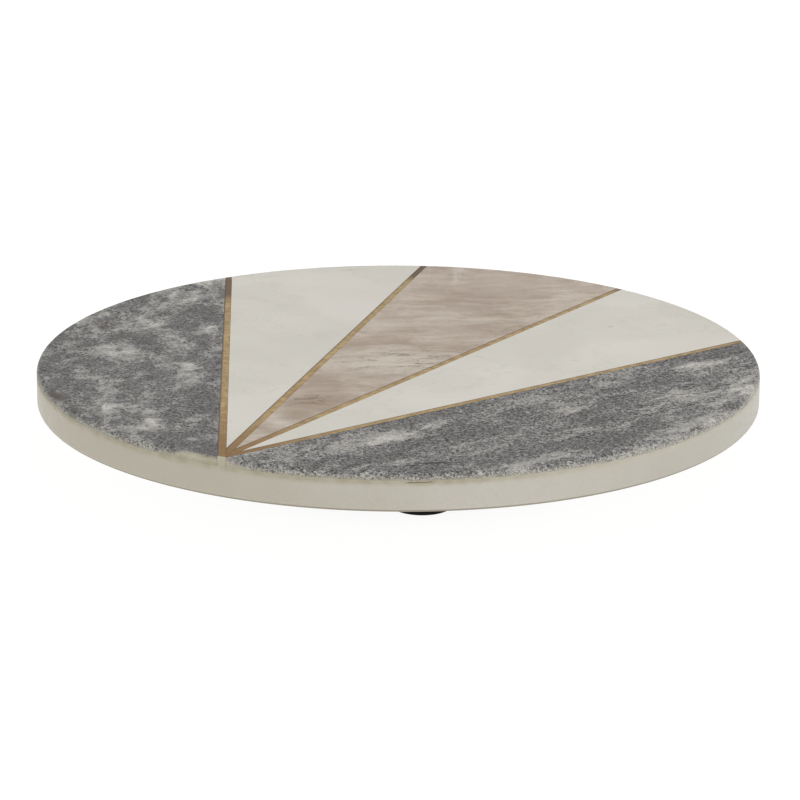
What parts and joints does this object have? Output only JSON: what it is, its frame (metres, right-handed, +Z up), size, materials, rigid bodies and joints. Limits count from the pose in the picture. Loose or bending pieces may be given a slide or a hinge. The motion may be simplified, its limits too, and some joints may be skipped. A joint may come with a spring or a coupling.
{
  "type": "lazy susan turntable",
  "caption": "Round inlaid marble serving turntable with brass divider strips, turning on a flat ball bearing over a footed disc base.",
  "frame": {"origin": "on the table under the centre of the round top, at the soles of the feet", "axes": "+Z up along the axis that the top turns on; -Y faces the side where the brass strips run together"},
  "size_m": [0.305, 0.305, 0.039],
  "materials": {
    "white_marble": "honed white marble with faint veins",
    "grey_marble": "honed grey marble, crystalline grain and pale clouds",
    "rose_beige_marble": "honed pinkish beige marble with streaks across the wedge",
    "resin": "beige stone adhesive",
    "brass": "satin brass with brown tarnish",
    "zinc_steel": "zinc-plated pressed steel",
    "nylon": "natural nylon",
    "black_lacquer": "black satin lacquer on fibreboard",
    "black_rubber": "matt black rubber"
  },
  "bodies": {
    "base": {"base_disc": "black_lacquer", "foot_1": "black_rubber", "foot_2": "black_rubber", "foot_3": "black_rubber", "foot_4": "black_rubber", "foot_washer_1": "zinc_steel", "foot_washer_2": "zinc_steel", "foot_washer_3": "zinc_steel", "foot_washer_4": "zinc_steel", "foot_screw_1": "zinc_steel", "foot_screw_2": "zinc_steel", "foot_screw_3": "zinc_steel", "foot_screw_4": "zinc_steel", "lower_plate": "zinc_steel", "lower_screw_1": "zinc_steel", "lower_screw_2": "zinc_steel", "lower_screw_3": "zinc_steel", "lower_screw_4": "zinc_steel", "pivot_rivet": "zinc_steel", "pivot_washer": "nylon"},
    "cage": {"ball_cage": "nylon", "ball_01": "zinc_steel", "ball_02": "zinc_steel", "ball_03": "zinc_steel", "ball_04": "zinc_steel", "ball_05": "zinc_steel", "ball_06": "zinc_steel", "ball_07": "zinc_steel", "ball_08": "zinc_steel", "ball_09": "zinc_steel", "ball_10": "zinc_steel", "ball_11": "zinc_steel", "ball_12": "zinc_steel", "ball_13": "zinc_steel", "ball_14": "zinc_steel", "ball_15": "zinc_steel", "ball_16": "zinc_steel"},
    "turntable": {"tile_grey_left": "grey_marble", "tile_white_left": "white_marble", "tile_rose_beige": "rose_beige_marble", "tile_white_right": "white_marble", "tile_grey_front": "grey_marble", "brass_strip_1": "brass", "brass_strip_2": "brass", "brass_strip_3": "brass", "brass_strip_4": "brass", "resin_bed": "resin", "carrier_slab": "white_marble", "upper_plate": "zinc_steel", "upper_screw_1": "zinc_steel", "upper_screw_2": "zinc_steel", "upper_screw_3": "zinc_steel", "upper_screw_4": "zinc_steel", "threaded_bush_1": "brass", "threaded_bush_2": "brass", "threaded_bush_3": "brass", "threaded_bush_4": "brass"}
  },
  "joints": [
    {"name": "turntable_spin", "type": "hinge", "parent": "base", "child": "turntable", "pos_m": [0, 0, 0.019], "axis": [0, 0, 1], "continuous": true},
    {"name": "cage_spin", "type": "hinge", "parent": "base", "child": "cage", "pos_m": [0, 0, 0.019], "axis": [0, 0, 1], "continuous": true}
  ],
  "couplings": [
    {"joint": "cage_spin", "follows": "turntable_spin", "ratio": 0.5}
  ]
}
